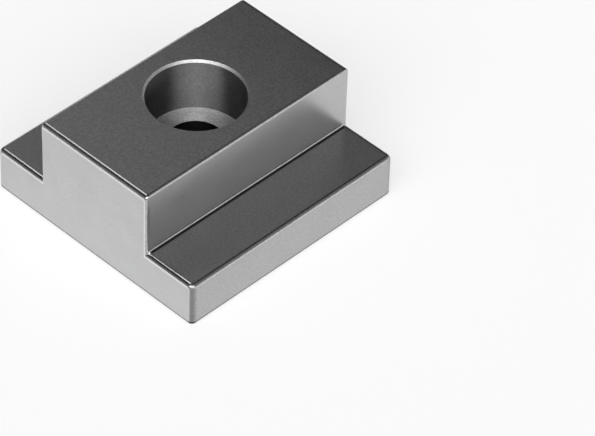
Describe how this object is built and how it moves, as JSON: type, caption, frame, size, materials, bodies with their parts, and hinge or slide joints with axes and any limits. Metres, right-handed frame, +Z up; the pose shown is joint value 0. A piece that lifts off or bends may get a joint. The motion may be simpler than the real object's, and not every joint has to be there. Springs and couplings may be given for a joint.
{
  "type": "t-slot tenon",
  "caption": "One-piece steel T-slot tenon with a square base, a full-length stem that fits the slot, and a counterbored hole for a socket head screw.",
  "frame": {"origin": "under the middle of the base, on its underside", "axes": "+Z up along the screw's axis, from the base to the stem; X across the slot; Y along the slot"},
  "size_m": [0.03, 0.03, 0.0135],
  "materials": {
    "ground_steel": "finely ground steel with rounded edges"
  },
  "bodies": {
    "root": {"tenon": "ground_steel"}
  },
  "joints": []
}
